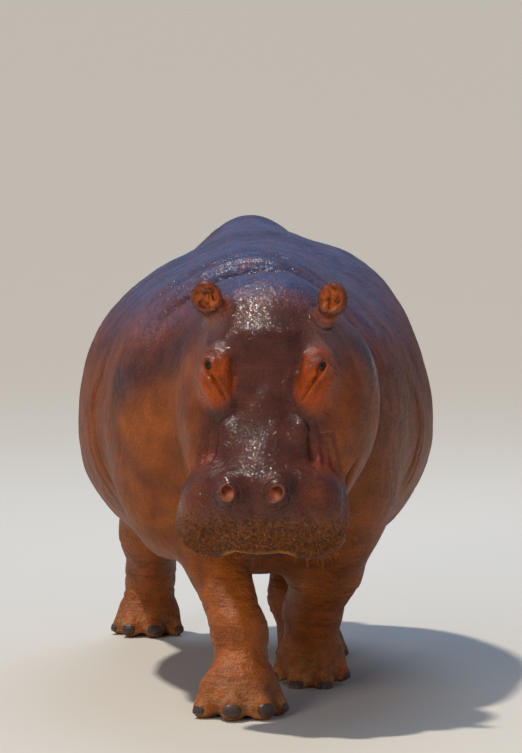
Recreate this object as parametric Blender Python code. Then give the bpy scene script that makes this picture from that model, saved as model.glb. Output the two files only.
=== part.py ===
"""A common hippopotamus (Hippopotamus amphibius) as a life-size still model, walking with its head low.

The flesh is one blended form: ellipsoids and tapering limbs whose distances are joined by a smooth minimum.
It is meshed once, thinned, and then parted with thin cuts into head, jaw, neck, trunk, legs and feet.
Eyes, ears, tail and the sixteen nails are pieces of their own.

Metres, +Z up. The animal faces -Y and its left side is +X. The origin is on the floor under the middle.
"""

import math

import bmesh
import bpy
import numpy as np
from mathutils import Matrix, Vector

# ---- driving dimensions --------------------------------------------------------------------------

CELL = 0.020  # edge of the cells that the blended flesh is meshed with
EAR_CELL = 0.0065
TAIL_CELL = 0.011
CUT = 0.0006  # width of the thin cuts between neighbouring pieces
HEAD_TRIANGLES = 1380  # what the flesh is thinned to before it is parted
BODY_TRIANGLES = 1340
FEET_TRIANGLES = 600
EAR_TRIANGLES = 190
TAIL_TRIANGLES = 150

BARREL_WIDTH = 1.145
BACK_HEIGHT = 1.405  # at the middle of the back; the spine's ridge stands over it
BELLY_HEIGHT = 0.368  # clear of the floor
BARREL_MIDDLE = Vector((0.010, 1.22, 0.8865))

HEAD_JOINT = Vector((0.091, 0.141, 1.232))  # where the skull meets the neck
HEAD_PITCH = math.radians(56)  # how far the muzzle hangs below level
HEAD_YAW = math.radians(-10.5)  # the head turns to its right

EYE_PLACE = Vector((0.168, -0.249, 0.126))  # in the head's frame, left side
EYE_RADIUS = 0.024
EAR_PLACE = Vector((0.194, -0.050, 0.190))
MOUTH_FRONT = Vector((0, -0.78, -0.046))  # where the lips meet, in the middle of the muzzle
MOUTH_RISE = 0.05  # how the line of the lips climbs towards the jaw's corner

WRIST_HEIGHT = 0.150  # where the feet part from the legs
NAIL_CLEARANCE = 0.004  # the nails are worn flat just above the floor
NAIL_LEAN = math.radians(-22)  # the nails slope back from the floor
DRUM_SIDES = 20  # of the round cuts that part the legs from the body


# ---- blended flesh -------------------------------------------------------------------------------


def smooth_min(a, b, width):
    """The smaller of two distances, rounded where they are within width of each other."""
    overlap = np.maximum(width - np.abs(a - b), 0.0) / width
    return np.minimum(a, b) - overlap * overlap * width / 4


def ellipsoid(points, centre, radii, turn=None):
    """Distance to an ellipsoid, near enough to blend with. turn is its rotation, as a Matrix."""
    local = points - np.array(centre)
    if turn is not None:
        local = local @ np.array(turn.to_3x3())
    scaled = np.linalg.norm(local / np.array(radii), axis=-1)
    steep = np.linalg.norm(local / np.array(radii) ** 2, axis=-1)
    return scaled * (scaled - 1) / np.maximum(steep, 1e-6)


def limb(points, joints, radii):
    """Distance to a chain of tapering round lengths through the joints."""
    nearest = None
    for start, end, r0, r1 in zip(joints, joints[1:], radii, radii[1:]):
        start, along = np.array(start), np.array(end) - np.array(start)
        share = np.clip(((points - start) @ along) / (along @ along), 0, 1)
        gap = np.linalg.norm(points - start - share[..., None] * along, axis=-1)
        gap -= r0 + (r1 - r0) * share
        nearest = gap if nearest is None else smooth_min(nearest, gap, 0.04)
    return nearest


class Flesh:
    """Masses joined one after another, each with its own width of blend."""

    def __init__(self):
        self.masses = []

    def add(self, shape, blend, *arguments):
        self.masses.append((shape, blend, arguments, 1))

    def carve(self, shape, blend, *arguments):
        self.masses.append((shape, blend, arguments, -1))

    def distance(self, points):
        total = None
        for shape, blend, arguments, sign in self.masses:
            gap = shape(points, *arguments)
            if total is None:
                total = gap
            elif sign > 0:
                total = smooth_min(total, gap, blend)
            else:
                total = -smooth_min(-total, gap, blend)
        return total


# ---- head ----------------------------------------------------------------------------------------

HEAD_AIM = Matrix.Rotation(HEAD_YAW, 4, "Z")
HEAD_TURN = HEAD_AIM @ Matrix.Rotation(HEAD_PITCH, 4, "X")
HEAD_FRAME = Matrix.Translation(HEAD_JOINT) @ HEAD_TURN


# where the neck parts from the trunk and the head from the neck: a place, and the direction backwards
NECK_BASE = ((0, 0.45, 0.90), (0, 1, -0.05))
SKULL_BASE = ((0.08, 0.175, 1.0), HEAD_AIM @ Vector((0, 1, -0.15)))


def head_distance(points):
    """The head in its own frame: x to the side, y back from the muzzle, z up from the palate."""
    local = (points - np.array(HEAD_JOINT)) @ np.array(HEAD_TURN.to_3x3())
    local = np.stack([np.abs(local[..., 0]), local[..., 1], local[..., 2]], -1)
    head = Flesh()
    # braincase, and the straight bridge that runs down from it
    head.add(ellipsoid, 0.0, (0, -0.120, -0.040), (0.170, 0.245, 0.175))
    bridge = [(0, -0.150, 0.015), (0, -0.435, -0.017), (0, -0.620, 0.000)]
    head.add(limb, 0.05, bridge, [0.120, 0.111, 0.122])
    # the snout's shoulders below the eyes
    head.add(ellipsoid, 0.04, (0.104, -0.440, 0.024), (0.036, 0.105, 0.044))
    # temples, cheekbones and the heavy jaw muscles
    head.add(ellipsoid, 0.06, (0.105, -0.190, 0.000), (0.115, 0.165, 0.105))
    head.add(ellipsoid, 0.06, (0.130, -0.330, -0.075), (0.120, 0.190, 0.095))
    head.add(ellipsoid, 0.06, (0.180, -0.250, -0.130), (0.131, 0.270, 0.185))
    head.add(ellipsoid, 0.06, (0.145, -0.460, -0.135), (0.090, 0.220, 0.115))
    # mounds that carry the eyes
    head.add(ellipsoid, 0.04, (0.154, -0.259, 0.080), (0.060, 0.092, 0.066))
    head.add(ellipsoid, 0.03, (0.132, -0.332, 0.062), (0.040, 0.060, 0.046))
    # lower jaw and chin
    head.add(ellipsoid, 0.06, (0, -0.470, -0.168), (0.200, 0.276, 0.105))
    # muzzle, its two lip pads and the nostril mounds
    head.add(ellipsoid, 0.04, (0, -0.655, -0.020), (0.205, 0.142, 0.125))
    head.add(ellipsoid, 0.035, (0.136, -0.628, -0.058), (0.118, 0.142, 0.118))
    head.add(ellipsoid, 0.05, (0.152, -0.690, -0.096), (0.096, 0.080, 0.084))
    head.add(ellipsoid, 0.03, (0.070, -0.668, 0.092), (0.048, 0.060, 0.045))
    return head.distance(local)


# ---- trunk and legs ------------------------------------------------------------------------------


def build_trunk(flesh):
    half = (BACK_HEIGHT - BELLY_HEIGHT) / 2
    flesh.add(ellipsoid, 0.0, BARREL_MIDDLE, (BARREL_WIDTH / 2, 1.000, half))
    flesh.add(ellipsoid, 0.15, (0.020, 1.25, 0.735), (BARREL_WIDTH / 2 - 0.045, 0.780, 0.355))
    # chest and rump
    flesh.add(ellipsoid, 0.15, (0.025, 0.700, 0.868), (0.435, 0.500, 0.468))
    flesh.add(ellipsoid, 0.15, (0.000, 1.900, 0.900), (0.440, 0.530, 0.480))
    flesh.add(ellipsoid, 0.12, (0.200, 1.450, 1.020), (0.300, 0.550, 0.355))
    # the ridge of the spine
    spine = [(0.04, 0.5, 1.25), (0.015, 1.2, 1.305), (-0.005, 1.85, 1.354), (-0.01, 2.2, 1.19)]
    flesh.add(limb, 0.15, spine, [0.12, 0.11, 0.10, 0.10])
    # neck, deep and as broad as the head
    flesh.add(limb, 0.12, [(0.00, 0.560, 1.000), (0.050, 0.200, 1.090)], [0.385, 0.265])
    flesh.add(limb, 0.10, [(0.00, 0.500, 0.760), (0.035, 0.220, 0.860)], [0.330, 0.225])


LEGS = {
    "foreleg_right": (
        [(-0.215, 0.46, 0.68), (-0.105, 0.34, 0.45), (-0.035, 0.19, 0.25), (-0.027, 0.125, 0.09)],
        [0.155, 0.094, 0.080, 0.084],
    ),
    "foreleg_left": (
        [(0.280, 0.46, 0.66), (0.238, 0.62, 0.40), (0.195, 0.77, 0.24), (0.195, 0.82, 0.10)],
        [0.158, 0.110, 0.088, 0.084],
    ),
    "hindleg_right": (
        [(-0.31, 1.86, 0.66), (-0.345, 2.02, 0.36), (-0.353, 2.12, 0.20), (-0.357, 2.12, 0.08)],
        [0.170, 0.105, 0.078, 0.082],
    ),
    "hindleg_left": (
        [(0.26, 1.82, 0.66), (0.165, 1.72, 0.38), (0.140, 1.55, 0.20), (0.180, 1.50, 0.08)],
        [0.180, 0.115, 0.080, 0.084],
    ),
}


def build_legs(flesh):
    # shoulders and thighs stand out a little from the barrel
    flesh.add(ellipsoid, 0.10, (0.298, 0.520, 0.800), (0.150, 0.240, 0.340))
    flesh.add(ellipsoid, 0.10, (-0.260, 0.520, 0.800), (0.160, 0.240, 0.350))
    for side in (1, -1):
        flesh.add(ellipsoid, 0.10, (-0.02 + side * 0.290, 1.880, 0.760), (0.170, 0.290, 0.380))
    for joints, radii in LEGS.values():
        flesh.add(limb, 0.07, joints, radii)


class Foot:
    """A four-toed foot on the floor. lift tips it onto its middle toes, and sink presses them down."""

    toes = ((-1.0, -0.30, 0.80), (-0.42, -1.0, 1.0), (0.42, -1.0, 1.0), (1.0, -0.30, 0.80))

    def __init__(self, x, y, heading, width, lift=0.0, sink=0.0):
        self.width = width
        self.frame = Matrix.Translation((x, y, -sink)) @ Matrix.Rotation(math.radians(heading), 4, "Z")
        pivot = Matrix.Translation((0, -0.38 * width, 0.02))
        self.frame = self.frame @ pivot @ Matrix.Rotation(math.radians(lift), 4, "X") @ pivot.inverted()

    def distance(self, points):
        w = self.width
        local = (points - np.array(self.frame.translation)) @ np.array(self.frame.to_3x3())
        foot = Flesh()
        foot.add(ellipsoid, 0.0, (0, 0.09 * w, 0.23 * w), (0.34 * w, 0.41 * w, 0.28 * w))
        for across, ahead, size in self.toes:
            root = (0.25 * across * w, 0.12 * ahead * w, 0.30 * w)
            tip = (0.375 * across * w, 0.38 * ahead * w, 0.115 * w * size)
            foot.add(limb, 0.15 * w, [root, tip], [0.16 * w * size, 0.130 * w * size])
        return foot.distance(local)


FEET = {
    "forefoot_right": Foot(-0.040, 0.105, 14, 0.31),
    "forefoot_left": Foot(0.190, 0.825, 0, 0.265, 18, 0.007),
    "hindfoot_right": Foot(-0.357, 2.110, -12, 0.265),
    "hindfoot_left": Foot(0.200, 1.480, 6, 0.25),
}


def flesh_distance(points):
    flesh = Flesh()
    build_trunk(flesh)
    build_legs(flesh)
    for foot in FEET.values():
        flesh.add(foot.distance, 0.05)
    flesh.add(head_distance, 0.07)
    return flesh.distance(points)


# ---- meshing -------------------------------------------------------------------------------------


def surface_of(name, distance, low, high, cell):
    """A closed mesh of the places where distance is zero: a point in each cell that the surface crosses."""
    axes = [np.arange(lo - cell, hi + 2 * cell, cell) for lo, hi in zip(low, high)]
    corners = np.stack(np.meshgrid(*axes, indexing="ij"), -1)
    value = distance(corners)
    inside = value < 0
    cells = tuple(n - 1 for n in value.shape)
    total, count = np.zeros(cells + (3,)), np.zeros(cells)
    for axis in range(3):
        first = [slice(None)] * 3
        second = [slice(None)] * 3
        first[axis], second[axis] = slice(0, -1), slice(1, None)
        first, second = tuple(first), tuple(second)
        crossing = inside[first] != inside[second]
        step = value[first] - value[second]
        share = np.where(crossing, value[first] / np.where(crossing, step, 1), 0)
        place = corners[first] + share[..., None] * (corners[second] - corners[first])
        others = [a for a in range(3) if a != axis]
        for da in (0, 1):
            for db in (0, 1):
                window = [slice(None)] * 3
                window[others[0]] = slice(da, da + cells[others[0]])
                window[others[1]] = slice(db, db + cells[others[1]])
                window = tuple(window)
                total += place[window] * crossing[window][..., None]
                count += crossing[window]
    used = count > 0
    index = np.full(cells, -1)
    index[used] = np.arange(used.sum())
    vertices = total[used] / count[used][:, None]
    faces = []
    for axis in range(3):
        others = [(axis + 1) % 3, (axis + 2) % 3]
        first = [slice(1, -1)] * 3
        second = [slice(1, -1)] * 3
        first[axis], second[axis] = slice(0, -1), slice(1, None)
        here, there = inside[tuple(first)], inside[tuple(second)]
        around = []
        for da, db in ((0, 0), (1, 0), (1, 1), (0, 1)):
            window = [slice(None)] * 3
            window[others[0]] = slice(da, da + cells[others[0]] - 1)
            window[others[1]] = slice(db, db + cells[others[1]] - 1)
            around.append(index[tuple(window)])
        around = np.stack(around, -1)
        faces.append(around[here & ~there])
        faces.append(around[~here & there][:, ::-1])
    mesh = bpy.data.meshes.new(name)
    mesh.from_pydata(vertices.tolist(), [], np.concatenate(faces).tolist())
    mesh.update()
    return mesh


def add_object(name, mesh):
    made = bpy.data.objects.new(name, mesh)
    bpy.context.scene.collection.objects.link(made)
    return made


def apply_modifiers(made):
    """Leave the object with its finished mesh, as its modifiers make it."""
    finished = bpy.data.meshes.new_from_object(made.evaluated_get(bpy.context.evaluated_depsgraph_get()))
    made.modifiers.clear()
    made.data = finished


def even_out(made, voxel):
    """Mesh the object afresh with even faces about a voxel across."""
    remesh = made.modifiers.new("Remesh", "REMESH")
    remesh.mode = "VOXEL"
    remesh.voxel_size = voxel
    apply_modifiers(made)


def thin(made, triangles, within=None):
    """Thin the mesh to about this many triangles, or only the part of it whose vertices are within."""
    mesh = made.data
    mesh.calc_loop_triangles()
    total = len(mesh.loop_triangles)
    modifier = made.modifiers.new("Thin", "DECIMATE")
    if within:
        chosen = [within(vertex.co) for vertex in mesh.vertices]
        group = made.vertex_groups.new(name="chosen")
        group.add([i for i, inside in enumerate(chosen) if inside], 1.0, "REPLACE")
        modifier.vertex_group = group.name
        triangles += total - sum(all(chosen[i] for i in face.vertices) for face in mesh.loop_triangles)
    modifier.ratio = triangles / total
    apply_modifiers(made)
    made.vertex_groups.clear()


# ---- parting -------------------------------------------------------------------------------------


def boolean(made, other, operation):
    modifier = made.modifiers.new("Cut", "BOOLEAN")
    modifier.solver = "EXACT"
    modifier.operation = operation
    modifier.object = other
    apply_modifiers(made)


def swollen(made, gap):
    """A copy of the object with every vertex moved out along its normal by gap."""
    mesh = made.data.copy()
    for vertex, normal in zip(mesh.vertices, [n.vector.copy() for n in mesh.vertex_normals]):
        vertex.co += normal * gap
    return add_object(made.name + "_seat", mesh)


def seat(host, piece):
    """Carve a close seat for the piece into its host."""
    cutter = swollen(piece, CUT)
    boolean(host, cutter, "DIFFERENCE")
    bpy.data.objects.remove(cutter)


def keep_side(made, point, normal):
    """Keep what lies on the side the normal points to, and close the cut."""
    form = bmesh.new()
    form.from_mesh(made.data)
    whole = form.verts[:] + form.edges[:] + form.faces[:]
    bmesh.ops.bisect_plane(form, geom=whole, plane_co=point, plane_no=normal, clear_inner=True)
    edges = [e for e in form.edges if e.is_boundary]
    bmesh.ops.holes_fill(form, edges=edges, sides=0)
    form.to_mesh(made.data)
    form.free()


def part_by_plane(made, point, normal, name):
    """Split off what lies behind the plane, as a piece of its own called name."""
    normal = Vector(normal).normalized()
    other = add_object(name, made.data.copy())
    keep_side(made, Vector(point) + normal * CUT / 2, normal)
    keep_side(other, Vector(point) - normal * CUT / 2, -normal)
    return other


def leg_cutter(top, bottom, top_radius, bottom_radius, gap):
    """A tapered drum round a leg, from inside the body down past the floor."""
    top, bottom = Vector(top), Vector(bottom)
    axis = top - bottom
    form = bmesh.new()
    ends = {"radius1": bottom_radius + gap, "radius2": top_radius + gap, "depth": axis.length + 2 * gap}
    bmesh.ops.create_cone(form, cap_ends=True, segments=DRUM_SIDES, **ends)
    turn = axis.to_track_quat("Z", "Y").to_matrix().to_4x4()
    bmesh.ops.transform(form, matrix=Matrix.Translation((top + bottom) / 2) @ turn, verts=form.verts)
    mesh = bpy.data.meshes.new("drum")
    form.to_mesh(mesh)
    form.free()
    return add_object("drum", mesh)


def part_leg(body, name, *drum):
    leg = add_object(name, body.data.copy())
    for made, gap, operation in ((leg, 0.0, "INTERSECT"), (body, CUT, "DIFFERENCE")):
        cutter = leg_cutter(*drum, gap)
        boolean(made, cutter, operation)
        bpy.data.objects.remove(cutter)
    return leg


LEG_DRUMS = {
    "foreleg_right": ((-0.150, 0.440, 0.600), (-0.030, 0.050, -0.080), 0.225, 0.225),
    "foreleg_left": ((0.270, 0.520, 0.600), (0.190, 0.830, -0.080), 0.225, 0.205),
    "hindleg_right": ((-0.320, 1.950, 0.580), (-0.360, 2.100, -0.080), 0.225, 0.205),
    "hindleg_left": ((0.230, 1.790, 0.580), (0.195, 1.450, -0.080), 0.225, 0.205),
}


# ---- eyes, ears, nails and tail ------------------------------------------------------------------


def ball(name, frame, radii, across, up):
    form = bmesh.new()
    bmesh.ops.create_uvsphere(form, u_segments=across, v_segments=up, radius=1.0)
    bmesh.ops.transform(form, matrix=frame @ Matrix.Diagonal(Vector((*radii, 1.0))), verts=form.verts)
    bmesh.ops.triangulate(form, faces=form.faces)
    mesh = bpy.data.meshes.new(name)
    form.to_mesh(mesh)
    form.free()
    return add_object(name, mesh)


def ear(side):
    """A round cupped ear on a short stalk, standing up from the skull and facing forward."""
    place = HEAD_FRAME @ Vector((side * EAR_PLACE.x, EAR_PLACE.y, EAR_PLACE.z))
    tilt = Matrix.Rotation(HEAD_YAW - side * math.radians(8), 4, "Z")
    tilt = tilt @ Matrix.Rotation(side * math.radians(16), 4, "Y")

    def distance(points):
        local = (points - np.array(place)) @ np.array(tilt.to_3x3())
        cup = Flesh()
        cup.add(ellipsoid, 0.0, (0, 0, 0), (0.045, 0.026, 0.050))
        cup.add(limb, 0.02, [(0, 0.010, -0.012), (-side * 0.022, 0.052, -0.068)], [0.028, 0.038])
        cup.carve(ellipsoid, 0.006, (0, -0.030, 0.005), (0.036, 0.028, 0.041))
        return cup.distance(local)

    reach = Vector((0.10, 0.13, 0.14))
    mesh = surface_of("ear", distance, place - reach, place + reach, EAR_CELL)
    made = add_object("ear_left" if side > 0 else "ear_right", mesh)
    even_out(made, EAR_CELL)
    thin(made, EAR_TRIANGLES)
    return made


def nails(foot_name, foot):
    """Four blunt nails, one at the front of each toe."""
    made = []
    w = foot.width
    for number, (across, ahead, size) in enumerate(foot.toes, 1):
        heading = Vector((0.46 * across, ahead, 0)).normalized()
        place = Vector((0.375 * across * w, 0.38 * ahead * w, 0.112 * w * size)) + heading * 0.092 * w * size
        turn = heading.to_track_quat("-Y", "Z").to_matrix().to_4x4()
        turn = turn @ Matrix.Rotation(NAIL_LEAN, 4, "X")
        frame = foot.frame @ Matrix.Translation(place) @ turn
        radii = (0.098 * w * size, 0.050 * w * size, 0.074 * w * size)
        nail = ball(foot_name.replace("foot", "nail") + "_" + str(number), frame, radii, 8, 4)
        keep_side(nail, (0, 0, NAIL_CLEARANCE), (0, 0, 1))
        made.append(nail)
    return made


def tail():
    def distance(points):
        hang = [(-0.02, 2.33, 1.16), (-0.02, 2.455, 1.06), (-0.025, 2.485, 0.90), (-0.03, 2.480, 0.74)]
        return limb(points, hang, [0.050, 0.040, 0.027, 0.014])

    mesh = surface_of("tail", distance, (-0.12, 2.25, 0.68), (0.08, 2.58, 1.26), TAIL_CELL)
    made = add_object("tail", mesh)
    thin(made, TAIL_TRIANGLES)
    return made


# ---- the whole animal ----------------------------------------------------------------------------


def on_head(place):
    return place.y < 0.17 and place.z > 0.45


def on_foot(place):
    return place.z < 0.17


def build_flesh():
    mesh = surface_of("flesh", flesh_distance, (-0.65, -0.60, -0.1), (0.65, 2.60, 1.55), CELL)
    flesh = add_object("flesh", mesh)
    even_out(flesh, CELL)
    smooth = flesh.modifiers.new("Smooth", "SMOOTH")
    smooth.factor = 0.5
    smooth.iterations = 2
    apply_modifiers(flesh)
    thin(flesh, BODY_TRIANGLES, lambda place: not (on_head(place) or on_foot(place)))
    thin(flesh, HEAD_TRIANGLES, on_head)
    thin(flesh, FEET_TRIANGLES, on_foot)
    return flesh


SKIN = ((0.165, 0.080, 0.066), 0.36)
FLANK = ((0.215, 0.098, 0.062), 0.40)
EAR = ((0.430, 0.170, 0.070), 0.50)
NAIL = ((0.095, 0.078, 0.082), 0.45)
EYE = ((0.018, 0.011, 0.009), 0.06)
COLOURS = {"eye": EYE, "ear": EAR, "forenail": NAIL, "hindnail": NAIL, "trunk": FLANK, "tail": FLANK}


def colour(made):
    """Give the object a material of its own."""
    tint, roughness = COLOURS.get(made.name.split("_")[0], SKIN)
    material = bpy.data.materials.new(made.name)
    material.use_nodes = True
    surface = material.node_tree.nodes["Principled BSDF"]
    surface.inputs["Base Color"].default_value = (*tint, 1.0)
    surface.inputs["Roughness"].default_value = roughness
    made.data.materials.clear()
    made.data.materials.append(material)


def centre_on_origin(pieces):
    """Stand the animal on the floor with the middle of its extent over the origin."""
    places = np.array([vertex.co for made in pieces for vertex in made.data.vertices])
    low, high = places.min(axis=0), places.max(axis=0)
    middle = (low + high) / 2
    for made in pieces:
        made.location = (-middle[0], -middle[1], -low[2])


def clear_scene():
    for old in list(bpy.data.objects):
        bpy.data.objects.remove(old)


def main():
    clear_scene()
    trunk = build_flesh()
    trunk.name = "trunk"
    keep_side(trunk, (0, 0, 0), (0, 0, 1))
    for name, drum in LEG_DRUMS.items():
        leg = part_leg(trunk, name, *drum)
        foot_name = name.replace("leg", "foot")
        foot = part_by_plane(leg, (0, 0, WRIST_HEIGHT), (0, 0, 1), foot_name)
        for nail in nails(foot_name, FEET[foot_name]):
            seat(foot, nail)
    neck = part_by_plane(trunk, *NECK_BASE, "neck")
    head = part_by_plane(neck, *SKULL_BASE, "head")
    mouth = (HEAD_FRAME @ MOUTH_FRONT, HEAD_TURN @ Vector((0, -MOUTH_RISE, 1)))
    part_by_plane(head, *mouth, "lower_jaw")
    for side, word in ((1, "left"), (-1, "right")):
        frame = HEAD_FRAME @ Matrix.Translation((side * EYE_PLACE.x, EYE_PLACE.y, EYE_PLACE.z))
        seat(head, ball("eye_" + word, frame, [EYE_RADIUS] * 3, 14, 8))
        seat(head, ear(side))
    seat(trunk, tail())
    pieces = list(bpy.data.objects)
    for made in pieces:
        colour(made)
    centre_on_origin(pieces)


main()
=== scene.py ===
"""Looks of the walking hippopotamus: one wet folded skin over the solids, with eyes, nails and bristles.

The skin is the same blended form as the CAD solids: masses whose distances are joined by a smooth minimum.
It is meshed finely, settled onto that form, and then folded, wrinkled and coloured by formulas.

Metres, +Z up. The animal faces -Y and its left side is +X. The form keeps the frame that the solids were
drawn in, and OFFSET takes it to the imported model's frame.
"""

import itertools
import math

import bmesh
import bpy
import numpy as np
from mathutils import Matrix, Vector


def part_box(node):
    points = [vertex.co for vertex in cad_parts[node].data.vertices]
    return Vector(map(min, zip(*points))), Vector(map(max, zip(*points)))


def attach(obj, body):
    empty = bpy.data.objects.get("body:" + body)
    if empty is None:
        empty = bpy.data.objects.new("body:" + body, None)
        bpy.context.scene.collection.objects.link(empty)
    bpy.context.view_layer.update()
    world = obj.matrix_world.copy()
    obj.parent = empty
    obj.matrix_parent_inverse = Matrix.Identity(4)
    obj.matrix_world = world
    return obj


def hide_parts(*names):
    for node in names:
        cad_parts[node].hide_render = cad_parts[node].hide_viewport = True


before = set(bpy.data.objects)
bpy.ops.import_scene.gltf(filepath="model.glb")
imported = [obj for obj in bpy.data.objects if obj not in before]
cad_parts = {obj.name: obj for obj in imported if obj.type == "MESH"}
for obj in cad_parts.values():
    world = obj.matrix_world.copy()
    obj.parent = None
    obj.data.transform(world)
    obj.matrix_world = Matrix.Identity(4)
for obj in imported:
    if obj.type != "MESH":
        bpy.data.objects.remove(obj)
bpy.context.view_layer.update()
rng = np.random.default_rng(11)

# ---- the form's driving dimensions, as the solids have them ----

BARREL_WIDTH = 1.145
BACK_HEIGHT = 1.405
BELLY_HEIGHT = 0.368
BARREL_MIDDLE = Vector((0.010, 1.22, 0.8865))

HEAD_JOINT = Vector((0.091, 0.141, 1.232))  # where the skull meets the neck
HEAD_PITCH = math.radians(56)
HEAD_YAW = math.radians(-10.5)
HEAD_AIM = Matrix.Rotation(HEAD_YAW, 4, "Z")
HEAD_TURN = HEAD_AIM @ Matrix.Rotation(HEAD_PITCH, 4, "X")
HEAD_FRAME = Matrix.Translation(HEAD_JOINT) @ HEAD_TURN
HEAD_AXES = np.array(HEAD_TURN.to_3x3())

EYE_PLACE = Vector((0.168, -0.249, 0.126))  # in the head's frame, left side
EYE_RADIUS = 0.024
EAR_PLACE = Vector((0.194, -0.050, 0.190))
EAR_CUP = (0.045, 0.050)  # half the width and half the height of an ear's cup
NOSTRIL_PLACE = Vector((0.0755, -0.690, 0.128))

# ---- the skin's own dimensions ----

BODY_CELL = 0.020  # cells that the trunk and legs are first meshed with
HEAD_CELL = 0.008
VOXEL = 0.0105  # faces of the joined skin, before the head's are divided
SETTLE_STEPS = 2
FLOOR_CLEARANCE = 0.0004

EYE_AXIS = Vector((0.40, -0.44, 0.80)).normalized()  # the way the lids open, in the head's frame
LID_THICKNESS = 0.0055
LID_OPENING = (0.0130, 0.0310)  # half the width and half the length of the gap between the lids
NOSTRIL_AXIS = Vector((0.12, -0.50, 0.86)).normalized()
NOSTRIL_OPENING = (0.0205, 0.0250)
SLANT = math.radians(27)  # lids and nostrils lean: their lower ends lie nearer the middle
NAIL_TILT = Matrix.Rotation(math.radians(-22), 4, "X")
NAIL_SIZE = (0.092, 0.047, 0.071)  # half a nail's width, thickness and height, for a foot one metre wide
PATCH = 0.003  # the width of a hair's patch on the map of the skin
MOUTH_RISE = 0.05  # how the line of the lips climbs towards the jaw's corner
MOUTH_FRONT = Vector((0, -0.78, -0.046))

OFFSET = np.array(sum(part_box("eye_left"), Vector()) / 2 - HEAD_FRAME @ EYE_PLACE)

FLESH_NODES = ["head", "lower_jaw", "neck", "trunk", "tail", "ear_left", "ear_right"]
for limb_words in itertools.product(("fore", "hind"), ("leg", "foot"), ("_left", "_right")):
    FLESH_NODES.append("".join(limb_words))


# ---- small tools ----


def ramp(value, low, high):
    """0 below low, 1 above high, and a smooth step between."""
    share = np.clip((value - low) / (high - low), 0, 1)
    return share * share * (3 - 2 * share)


def hill(value, width):
    return np.exp(-((value / width) ** 2))


def lengths(vectors):
    return np.linalg.norm(vectors, axis=-1)


def unit(vectors):
    return vectors / np.maximum(lengths(vectors), 1e-9)[..., None]


def noise(points, size, seed=0):
    """Smooth noise from -1 to 1, with features about size across."""
    table = np.random.default_rng(seed).uniform(-1, 1, (32, 32, 32))
    scaled = points / size
    cell = np.floor(scaled).astype(int)
    share = scaled - cell
    share = share * share * (3 - 2 * share)
    total = np.zeros(points.shape[:-1])
    for corner in itertools.product((0, 1), repeat=3):
        weight = np.prod(np.where(corner, share, 1 - share), axis=-1)
        spot = (cell + corner) % 32
        total += weight * table[spot[..., 0], spot[..., 1], spot[..., 2]]
    return total


def in_frame(points, turn_frame):
    """The points in the coordinates of a frame that turns and shifts but doesn't scale."""
    return (points - np.array(turn_frame.translation)) @ np.array(turn_frame.to_3x3())


def in_head(points):
    return in_frame(points, HEAD_FRAME)


def in_half_head(points):
    """The points in the head's frame, with its right half folded onto its left."""
    local = in_head(points)
    local[..., 0] = np.abs(local[..., 0])
    return local


def add_object(name, data):
    made = bpy.data.objects.new(name, data)
    bpy.context.scene.collection.objects.link(made)
    return made


def apply_modifiers(made):
    finished = bpy.data.meshes.new_from_object(made.evaluated_get(bpy.context.evaluated_depsgraph_get()))
    made.modifiers.clear()
    made.data = finished


def read(items, name, width=1, kind=float):
    """One value of every item, or a row of that width of them."""
    flat = np.empty(len(items) * width, kind)
    items.foreach_get(name, flat)
    return flat.reshape(-1, width) if width > 1 else flat


def places(mesh):
    return read(mesh.vertices, "co", 3)


def put_places(mesh, points):
    mesh.vertices.foreach_set("co", points.ravel())
    mesh.update()


# ---- distances ----


def smooth_min(a, b, width):
    """The smaller of two distances, rounded where they are within width of each other."""
    overlap = np.maximum(width - np.abs(a - b), 0.0) / width
    return np.minimum(a, b) - overlap * overlap * width / 4


def ellipsoid(points, centre, radii, turn=None):
    """Distance to an ellipsoid, near enough to blend with. turn is its rotation, as a Matrix."""
    local = points - np.array(centre)
    if turn is not None:
        local = local @ np.array(turn.to_3x3())
    scaled = lengths(local / np.array(radii))
    steep = lengths(local / np.array(radii) ** 2)
    return scaled * (scaled - 1) / np.maximum(steep, 1e-6)


def limb(points, joints, radii):
    """Distance to a chain of tapering round lengths through the joints."""
    nearest = None
    for start, end, r0, r1 in zip(joints, joints[1:], radii, radii[1:]):
        start, along = np.array(start), np.array(end) - np.array(start)
        share = np.clip(((points - start) @ along) / (along @ along), 0, 1)
        gap = lengths(points - start - share[..., None] * along)
        gap -= r0 + (r1 - r0) * share
        nearest = gap if nearest is None else smooth_min(nearest, gap, 0.04)
    return nearest


def line_gap(points, joints):
    """Distance to the bare line through the joints."""
    return limb(points, joints, [0.0] * len(joints))


class Flesh:
    """Masses joined one after another, each with its own width of blend."""

    def __init__(self):
        self.masses = []

    def add(self, shape, blend, *arguments):
        self.masses.append((shape, blend, arguments, 1))

    def carve(self, shape, blend, *arguments):
        self.masses.append((shape, blend, arguments, -1))

    def distance(self, points):
        total = None
        for shape, blend, arguments, sign in self.masses:
            gap = shape(points, *arguments)
            if total is None:
                total = gap
            elif sign > 0:
                total = smooth_min(total, gap, blend)
            else:
                total = -smooth_min(-total, gap, blend)
        return total


# ---- head ----


def slanted(axis):
    """A frame whose z is the axis and whose y runs down the face, leaning to the middle."""
    down = Vector((-math.sin(SLANT), -math.cos(SLANT), 0))
    across = down.cross(axis).normalized()
    down = axis.cross(across)
    return Matrix((across, down, axis)).transposed()


EYE_TURN = slanted(EYE_AXIS)
NOSTRIL_TURN = slanted(NOSTRIL_AXIS)


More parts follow.
